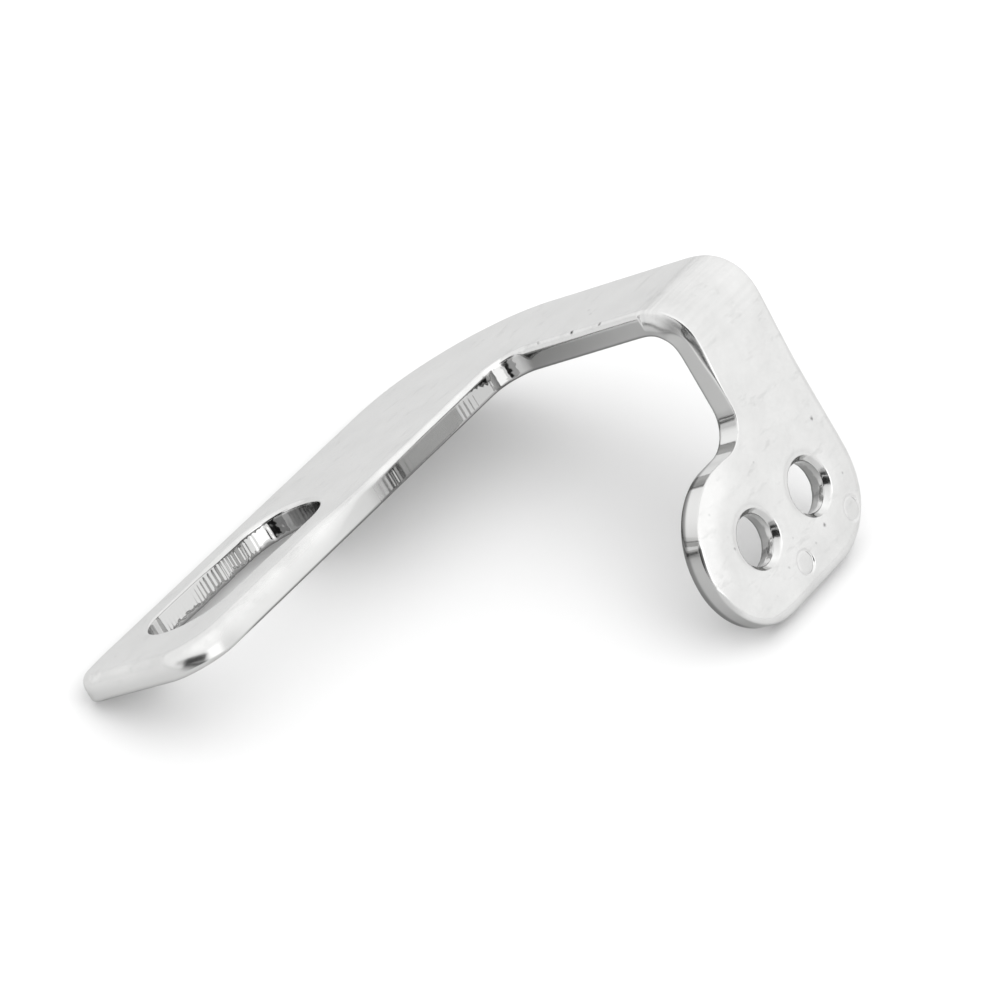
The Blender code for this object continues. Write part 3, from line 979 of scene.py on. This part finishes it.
        # Painted shade: dark patches on the edge roll at the heel, in the fold and under the heel
        turned = (y - self.bend_start - self.PAINTED_FOLD_SHADE) / self.PAINTED_FOLD_SHADE_REACH
        in_fold = np.exp(-turned * turned) * ease(*self.BY_EDGE, np.abs(x - s.neck))
        under_heel = within(*self.UNDER_HEEL, below) * ease(*self.UNDER_HEEL_END, aside)
        dark = np.maximum(finish.painted_heel_shade * self.heel(flat), finish.painted_fold_shade * in_fold)
        dark = np.maximum(dark, finish.painted_under_heel_shade * under_heel)
        return tone_and_painted_light * (1 - roll * dark)

    def rubbed(self, flat, facing):
        """Share of brightness with painted shade and light: a little less on the arm, more at the ear's edge.

        The ear's gain is for the face alone, so it goes with facing, which is 1 on a face and 0 on a wall.
        """
        on_ear, beyond = self.on_ear(flat)
        # Painted highlight along the ear's edge, and painted shade over the arm's face
        bright = self.finish.painted_ear_highlight * on_ear * ease(*self.EAR_PAINTED_HIGHLIGHT, beyond) * facing
        return 1 - self.finish.painted_arm_shade * ease(*self.ARM_SIDE, flat[..., 1] - self.bend_start) + bright

    def edge_looks(self, index, flat, height, share, torn):
        """The finish over an edge's band, by name: wall, tone and dull; the tone holds painted shade and
        highlights.

        The band's last row lies on the lower face, and looks as that face does.
        """
        s = self.s
        finish = self.finish
        wall = ease(*self.WALL_LOOK, share)
        wall[:, -1] = 0.0
        tone_and_painted_light = self.tones_and_painted_light(index, flat, share, torn)
        on_outer = index == OUTER_EDGE
        raised = ease(*self.EAR_RAISED, flat[..., 0]) * (flat[..., 1] > self.bend_end) * on_outer
        # Painted shade: the lower edge is darkened over a span of height above the lower face, less at the
        # tip
        starts, ends = (
            plain + (ear - plain) * raised for plain, ear in zip(self.EDGE_SPAN, self.EAR_EDGE_SPAN)
        )
        under = ease(starts, ends, height + s.thickness)
        under = under * (1 - self.TIP_EDGE_LOST * self.tip(flat, self.TIP_UNDER))
        tone_and_painted_light = tone_and_painted_light + (finish.painted_edge_shade - tone_and_painted_light) * under
        tone_and_painted_light[:, -1] = 1.0
        # Painted shade over the arm and painted highlight at the ear's edge
        tone_and_painted_light = tone_and_painted_light * self.rubbed(flat, np.clip(1 - share, 0.0, 1.0))
        tip = self.tip(flat, self.TIP_DULL)
        lip = self.lip(flat, self.LIP_DULL) * on_outer
        satin = finish.satin + (finish.lip - finish.satin) * lip * ease(*self.LIP_SATIN, share)
        satin = satin + (finish.worn - satin) * tip
        bright = finish.bright if index < FIRST_HOLE else 2 * finish.bright
        bright_from = self.BRIGHT_FROM[min(index, FIRST_HOLE)]
        polished = ease(bright_from, bright_from + self.BRIGHT_OVER, share)
        dull = satin + (bright - satin) * polished * (1 - np.maximum(self.TIP_SOFT * tip, lip))
        from_fillet = np.hypot(flat[..., 0] - s.neck, flat[..., 1] - self.hole_row + self.FILLET_MIDDLE)
        dull = dull + finish.bright * ease(*self.FILLET_DULL, from_fillet) * on_outer
        dull[:, -1] = finish.satin
        return {"wall": wall, "tone_and_painted_light": tone_and_painted_light, "dull": dull}

    def marks(self):
        """Centres of the struck marks on the blank."""
        s = self.s
        y = self.hole_row + s.foot_end - s.mark_rise
        return [(place - s.mark_shift + dx, y + dy) for place, (dx, dy) in zip(self.holes, self.STRUCK)]

    def dip(self, flat):
        """How far the face lies below its plane: it falls to the foot's edges and holes, and the marks dip.

        A mark is a shallow disc that leans to one side, with a fine groove round its rim.
        """
        s = self.s
        x, y, aside, below = self.places(flat)
        round_end = np.hypot(x - np.clip(x, s.foot_end, self.holes[1]), below)
        core = np.where(below > 0, round_end, s.foot_end - x)
        on_foot = ease(*self.FOOT_FALL, y - self.bend_end) * ease(self.holes[1] + MM, self.holes[0], x)
        deep = s.foot_fall * on_foot * ease(s.foot_end / 3, s.foot_end, core) ** 2
        on_ear, beyond = self.on_ear(flat)
        deep = deep + s.ear_fall * on_ear * np.clip(1 - beyond / s.ear_fall_width, 0.0, 1.0) ** 2
        for place in self.holes:
            gap = np.hypot(x - place, below) - s.hole / 2
            deep = deep + s.hole_fall * np.clip(1 - gap / s.hole_fall_width, 0.0, 1.0) ** 2
        rim = s.mark / 2
        for centre in self.marks():
            offset = flat - np.array(centre)
            reach = np.hypot(offset[..., 0], offset[..., 1])
            disc = ease(0.0, self.MARK_EDGE, rim - reach)
            groove = np.exp(-(((reach - rim + self.MARK_EDGE) / self.MARK_GROOVE) ** 2))
            lean = 1 + self.MARK_TILT * np.tensordot(offset, self.MARK_LEAN, axes=1) / rim
            deep = deep + s.mark_depth * lean * (self.MARK_DISC * disc + self.MARK_RIM * groove)
        return deep

    def close_rings(self):
        """Rings of points about each mark and each hole, as centre, radii and the reach that they fill."""
        s = self.s
        rim = s.mark / 2
        mark = np.r_[
            np.linspace(self.MARK_CORE, rim - 3 * self.MARK_EDGE, self.MARK_RINGS),
            np.linspace(rim - 2.2 * self.MARK_EDGE, rim + self.MARGIN, self.RIM_RINGS),
        ]
        mouth = s.hole / 2 + s.hole_roll + self.MARGIN
        first, last = self.HOLE_RING_SPAN
        hole = np.linspace(mouth + first, mouth + last, self.HOLE_RINGS)
        places = [(centre, mark, rim + 2 * self.MARGIN) for centre in self.marks()]
        return places + [((place, self.hole_row), hole, mouth + self.HOLE_RING_REACH) for place in self.holes]

    def inner_points(self, rings, marked):
        """A grid of points inside a face, closer over the bend and round the marks, clear of its edges."""
        s = self.s
        x = np.arange(0.0, s.reach, self.NET)
        low = self.hole_row + s.foot_end
        y = np.r_[
            np.arange(0.0, self.bend_start - self.SOFT_START - self.NET / 2, self.NET),
            np.arange(self.bend_start - self.SOFT_START, self.bend_end + self.SOFT_END, self.BEND_ROW),
            np.arange(self.bend_end + self.SOFT_END, low, self.NET),
        ]
        grid = np.stack(np.meshgrid(x, y), axis=-1).reshape(-1, 2)
        grid = grid[in_metal(grid, [ring - outward(ring) * self.NET * self.NET_CLEAR for ring in rings])]
        if not marked:
            return grid
        close = self.close_rings()
        near = [np.hypot(*(grid - np.array(centre)).T) < reach for centre, radii, reach in close]
        fine = np.vstack([
            circle(centre, radius, self.RING_POINTS) for centre, radii, reach in close for radius in radii
        ])
        fine = fine[in_metal(fine, [ring - outward(ring) * self.MARGIN / 2 for ring in rings])]
        return np.vstack([grid[~np.any(near, axis=0)], fine])

    def fold(self, blank):
        """Fold the foot down: a point stands off the middle's path, square to it, by its own height."""
        x, y, z = blank.T
        run, turn, across, down = self.fold_table
        along = y - self.bend_start
        heading = np.interp(along, run, turn)
        middle = np.interp(along, run, across) + np.minimum(along - run[0], 0.0)
        drop = np.interp(along, run, down) + np.maximum(along - run[-1], 0.0)
        proud = z + self.s.thickness / 2
        return np.column_stack([
            x,
            self.bend_start + middle + proud * np.sin(heading),
            -self.s.thickness / 2 - drop + proud * np.cos(heading),
        ])

    def stand(self, folded):
        """Turn the blank half round and tilt it on to its two lower edges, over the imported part's box."""
        s = self.s
        tilt = math.atan2(s.drop + s.foot_end - s.thickness, s.offset - s.thickness)
        x, y, z = -folded[:, 0], -folded[:, 1], folded[:, 2]
        y, z = y * math.cos(tilt) + z * math.sin(tilt), z * math.cos(tilt) - y * math.sin(tilt)
        low, high = CAD_BOX
        x += (low.x + high.x + s.reach) / 2
        y += (low.y + high.y + s.offset * math.cos(tilt) + (s.drop + s.foot_end) * math.sin(tilt)) / 2
        z += low.z + s.thickness * math.cos(tilt)
        return np.column_stack([x, y, z])

    def build(self):
        """The vertices on the blank, their looks by name, the standing vertices, quads and triangles."""
        vertices, quads, triangles = [], [], []
        looks = {"wall": [], "tone_and_painted_light": [], "dull": []}
        tops, unders, top_ids, under_ids = [], [], [], []
        start = 0
        for index, (outline, spacing) in enumerate(self.outlines()):
            points, run = even_steps(outline, spacing)
            width, depth, burr, power = self.rolls(index, run, points)
            inset, height = self.profile(width, depth, burr, power)
            proud, torn = self.relief(index, run, points, depth, height)
            flat = points[:, None, :] + outward(points)[:, None, :] * (proud - inset)[..., None]
            share = -height / depth[:, None]
            high = height - np.clip(1 - share, 0.0, 1.0) * self.dip(flat)
            vertices.append(np.concatenate([flat, high[..., None]], axis=-1).reshape(-1, 3))
            for name, values in self.edge_looks(index, flat, height, share, torn).items():
                looks[name].append(values.ravel())
            across = inset.shape[1]
            quads.append(ring_quads(len(points), across, start))
            ids = start + np.arange(len(points)) * across
            tops.append(flat[:, 0])
            top_ids.append(ids)
            unders.append(flat[:, -1])
            under_ids.append(ids + across - 1)
            start += len(points) * across
        for rings, ids, height in ((tops, top_ids, 0.0), (unders, under_ids, -self.s.thickness)):
            on_top = height == 0.0
            inner = self.inner_points(rings, on_top)
            net = fill_face(rings, inner)
            level = -self.dip(inner) if on_top else np.full(len(inner), height)
            vertices.append(np.column_stack([inner, level]))
            looks["wall"].append(np.zeros(len(inner)))
            # The faces take the painted shade over the arm and the painted highlight at the ear's edge
            looks["tone_and_painted_light"].append(self.rubbed(inner, float(on_top)))
            looks["dull"].append(np.full(len(inner), self.finish.satin))
            table = np.concatenate([*ids, start + np.arange(len(inner))])
            triangles.append(table[net] if on_top else table[net][:, ::-1])
            start += len(inner)
        blank = np.vstack(vertices)
        looks = {name: np.concatenate(values) for name, values in looks.items()}
        return blank, looks, self.stand(self.fold(blank)), np.vstack(quads), np.vstack(triangles)

    def near_fold(self, blank):
        """How close each point of the blank is to the fold's first line and its body, from 0 to 1."""
        past = blank[:, 1] - self.bend_start
        line = np.exp(-((past / self.FOLD_LINE) ** 2))
        body = ease(*self.FOLD_BODY_RISE, past) * ease(*self.FOLD_BODY_FALL, past - self.bend_length)
        return np.maximum(line, self.FOLD_BODY * body)


def new_mesh(name, vertices, quads, triangles):
    """A mesh from whole arrays of vertices, quads and triangles."""
    mesh = bpy.data.meshes.new(name)
    mesh.vertices.add(len(vertices))
    mesh.vertices.foreach_set("co", vertices.astype(np.float32).ravel())
    loops = np.concatenate([quads.ravel(), triangles.ravel()]).astype(np.int32)
    mesh.loops.add(len(loops))
    mesh.loops.foreach_set("vertex_index", loops)
    sizes = np.r_[np.full(len(quads), 4), np.full(len(triangles), 3)]
    mesh.polygons.add(len(sizes))
    mesh.polygons.foreach_set("loop_start", np.r_[0, np.cumsum(sizes)[:-1]].astype(np.int32))
    mesh.update(calc_edges=True)
    mesh.validate()
    mesh.shade_smooth()
    return mesh


def add_attribute(mesh, name, kind, values):
    """Store values at the mesh's points under a name that its material reads."""
    made = mesh.attributes.new(name, kind, "POINT")
    made.data.foreach_set("vector" if kind == "FLOAT_VECTOR" else "value", values.astype(np.float32).ravel())


def place(name, mesh, material):
    """An object at the origin, linked to the scene, with its material."""
    made = bpy.data.objects.new(name, mesh)
    bpy.context.scene.collection.objects.link(made)
    mesh.materials.append(material)
    return made


def compass(azimuth, elevation=0.0):
    """The direction of an azimuth, from -Y towards +X, and an elevation, in degrees."""
    a, e = math.radians(azimuth), math.radians(elevation)
    return np.array([math.sin(a) * math.cos(e), -math.cos(a) * math.cos(e), math.sin(e)])


# The surround, by the height of a direction: where it brightens from the horizon up, and again overhead
HORIZON_SPAN = (0.0, 0.20)
OVERHEAD_SPAN = (0.68, 0.95)

# The dark flag: its columns, the height of its pale foot and the shades of foot and cloth
FLAG_COLUMNS = 28
FLAG_FOOT = (0.050, 0.062)
FLAG_SHADES = (0.50, 0.02)

# The camera's screen, in metres in the camera's own frame: its columns, their shades, height and depth
SCREEN_ACROSS = (-0.60, -0.36, -0.30, 0.14)
SCREEN_SHADES = (0.75, 0.75, 0.02, 0.02)
SCREEN_BOTTOM = -0.14
SCREEN_TOP = 0.06
SCREEN_BEHIND = 0.02

# The two soft lights: size and distance in metres, azimuth and elevation in degrees
SOFTBOX = {"size": 0.40, "azimuth": -11.0, "elevation": 38.0, "distance": 0.6}
TOP_LIGHT = {"size": 0.60, "azimuth": 40.0, "elevation": 58.0, "distance": 0.7}

NO_TRIANGLES = np.zeros((0, 3), int)


def white_surround(stage):
    """A white surround, brighter overhead, that falls off a little towards the horizon."""
    world = bpy.data.worlds.new("white_surround")
    world.use_nodes = True
    base = Value(world.node_tree)
    direction = base.node("ShaderNodeTexCoord", output="Generated")
    up = base.node("ShaderNodeSeparateXYZ", inputs={0: direction}, output="Z")
    rise = smooth_step(up, HORIZON_SPAN, (stage.horizon, stage.surround))
    brighter = smooth_step(up, OVERHEAD_SPAN, (0.0, stage.overhead - stage.surround))
    feed(world.node_tree.nodes["Background"], "Strength", rise + brighter)
    feed(world.node_tree.nodes["Background"], "Color", (1.0, 1.0, 1.0, 1.0))
    return world


def stage_object(name, mesh, material):
    """A dark screen of the stage, which shows in reflections alone."""
    made = place(name, mesh, material)
    made.visible_camera = False
    made.visible_diffuse = False
    made.visible_shadow = False
    made.visible_transmission = False


def grey(shade):
    """A grey colour from one Value."""
    return shade.node("ShaderNodeCombineColor", inputs={0: shade, 1: shade, 2: shade})


def dark_flag(stage):
    """A flag on the camera's side: an upright wall on an arc about the object, dark above a pale foot."""
    azimuth = np.linspace(stage.flag_left, stage.flag_right, FLAG_COLUMNS)
    height = np.array([0.0, stage.flag_reach * math.tan(stage.flag_top)])
    x = stage.flag_reach * np.sin(azimuth)[:, None] + 0 * height
    y = -stage.flag_reach * np.cos(azimuth)[:, None] + 0 * height
    z = height + 0 * x
    i = np.arange(FLAG_COLUMNS - 1) * 2
    quads = np.column_stack([i, i + 2, i + 3, i + 1])
    material, shader, base = fresh_material("flag_cloth")
    point = base.node("ShaderNodeTexCoord", output="Object")
    up = base.node("ShaderNodeSeparateXYZ", inputs={0: point}, output="Z")
    (low, high), (first, last) = FLAG_FOOT, FLAG_SHADES
    pale = base.node(
        "ShaderNodeMapRange",
        inputs={"Value": up, "From Min": low, "From Max": high, "To Min": first, "To Max": last},
    )
    matt(shader, grey(pale))
    corners = np.stack([x, y, z], axis=-1).reshape(-1, 3)
    stage_object("flag", new_mesh("flag", corners, quads, NO_TRIANGLES), material)


def camera_screen(pose):
    """A screen about the camera: dark as the camera shows in the plate, and pale further left."""
    count = len(SCREEN_ACROSS)
    low = np.column_stack([SCREEN_ACROSS, np.full(count, SCREEN_BOTTOM), np.full(count, SCREEN_BEHIND)])
    high = low + (0.0, SCREEN_TOP - SCREEN_BOTTOM, 0.0)
    corners = np.vstack([low, high]) @ np.array(pose.to_3x3()).T + np.array(pose.translation)
    i = np.arange(count - 1)
    quads = np.column_stack([i, i + 1, i + count + 1, i + count])
    mesh = new_mesh("camera_screen", corners, quads, NO_TRIANGLES)
    add_attribute(mesh, "shade", "FLOAT", np.tile(SCREEN_SHADES, 2))
    material, shader, base = fresh_material("camera_black")
    matt(shader, grey(attribute(base, "shade")))
    stage_object("camera_screen", mesh, material)


def camera_pose(stage):
    """The camera's pose: it looks back along its azimuth and elevation, rolled about that line."""
    azimuth = math.degrees(stage.camera_azimuth)
    back = compass(azimuth, math.degrees(stage.camera_elevation))
    level = compass(azimuth + 90.0)
    upright = np.cross(back, level)
    right = level * math.cos(stage.camera_roll) + upright * math.sin(stage.camera_roll)
    pose = Matrix(np.column_stack([right, np.cross(back, right), back]).tolist()).to_4x4()
    pose.translation = stage.camera_place
    return pose


def add_camera(scene, stage, pose):
    """The scene's camera at a pose."""
    lens = bpy.data.cameras.new("camera")
    lens.lens = stage.lens
    lens.sensor_width = stage.sensor
    lens.clip_start = 0.01
    lens.clip_end = 20.0
    camera = bpy.data.objects.new("camera", lens)
    camera.matrix_world = pose
    scene.collection.objects.link(camera)
    scene.camera = camera


def area_light(scene, name, power, size, azimuth, elevation, distance):
    """A square soft light that faces the object from an azimuth and an elevation."""
    lamp = bpy.data.lights.new(name, "AREA")
    lamp.shape = "SQUARE"
    lamp.size = size
    lamp.energy = power
    light = bpy.data.objects.new(name, lamp)
    back = compass(azimuth, elevation)
    light.location = back * distance
    light.rotation_mode = "QUATERNION"
    light.rotation_quaternion = Vector(-back).to_track_quat("-Z", "Y")
    scene.collection.objects.link(light)
    return light


class BRACKET_OT_pressing(bpy.types.Operator):
    """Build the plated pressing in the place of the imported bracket"""

    bl_idname = "bracket.pressing"
    bl_label = "Pressing"

    def execute(self, context):
        scene = context.scene
        shape = Pressing(scene.bracket_sizes, scene.plate_finish)
        blank, looks, vertices, quads, triangles = shape.build()
        mesh = new_mesh("pressing", vertices, quads, triangles)
        add_attribute(mesh, "blank", "FLOAT_VECTOR", blank / MM)
        looks["fold"] = shape.near_fold(blank)
        for name, values in looks.items():
            add_attribute(mesh, name, "FLOAT", values)
        pressing = place("pressing", mesh, plated_steel(scene.plate_finish, shape))
        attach(pressing, "root")
        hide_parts("bracket")
        return {"FINISHED"}


class BRACKET_OT_stage(bpy.types.Operator):
    """Build the floor, the soft light, the dark screens and the camera"""

    bl_idname = "bracket.stage"
    bl_label = "Stage"

    def execute(self, context):
        scene = context.scene
        stage = scene.studio_stage
        half = stage.floor_half
        corners = np.array([(-half, -half, 0.0), (half, -half, 0.0), (half, half, 0.0), (-half, half, 0.0)])
        mesh = new_mesh("floor", corners, np.array([[0, 1, 2, 3]]), NO_TRIANGLES)
        floor = place("floor", mesh, floor_paper(stage))
        scene.world = white_surround(stage)
        dark_flag(stage)
        area_light(scene, "softbox", stage.softbox, **SOFTBOX)
        overhead = area_light(scene, "top_light", stage.top_light, **TOP_LIGHT)
        overhead.visible_glossy = False
        pose = camera_pose(stage)
        camera_screen(pose)
        add_camera(scene, stage, pose)
        scene.view_settings.view_transform = "Standard"
        return {"FINISHED"}


class BRACKET_PT_panel(bpy.types.Panel):
    """Sizes, finish and stage of the bracket"""

    bl_idname = "BRACKET_PT_panel"
    bl_label = "Bracket"
    bl_space_type = "VIEW_3D"
    bl_region_type = "UI"
    bl_category = "Bracket"

    def draw(self, context):
        layout = self.layout
        for group in (context.scene.bracket_sizes, context.scene.plate_finish, context.scene.studio_stage):
            column = layout.column()
            for name in group.__annotations__:
                column.prop(group, name)
        layout.operator("bracket.pressing")
        layout.operator("bracket.stage")


CLASSES = (BracketSizes, PlateFinish, StudioStage, BRACKET_OT_pressing, BRACKET_OT_stage, BRACKET_PT_panel)


def register():
    for made in CLASSES:
        bpy.utils.register_class(made)
    bpy.types.Scene.bracket_sizes = bpy.props.PointerProperty(type=BracketSizes)
    bpy.types.Scene.plate_finish = bpy.props.PointerProperty(type=PlateFinish)
    bpy.types.Scene.studio_stage = bpy.props.PointerProperty(type=StudioStage)


def unregister():
    del bpy.types.Scene.studio_stage
    del bpy.types.Scene.plate_finish
    del bpy.types.Scene.bracket_sizes
    for made in reversed(CLASSES):
        bpy.utils.unregister_class(made)


def main():
    register()
    bpy.ops.bracket.pressing()
    bpy.ops.bracket.stage()


if __name__ == "__main__":
    main()
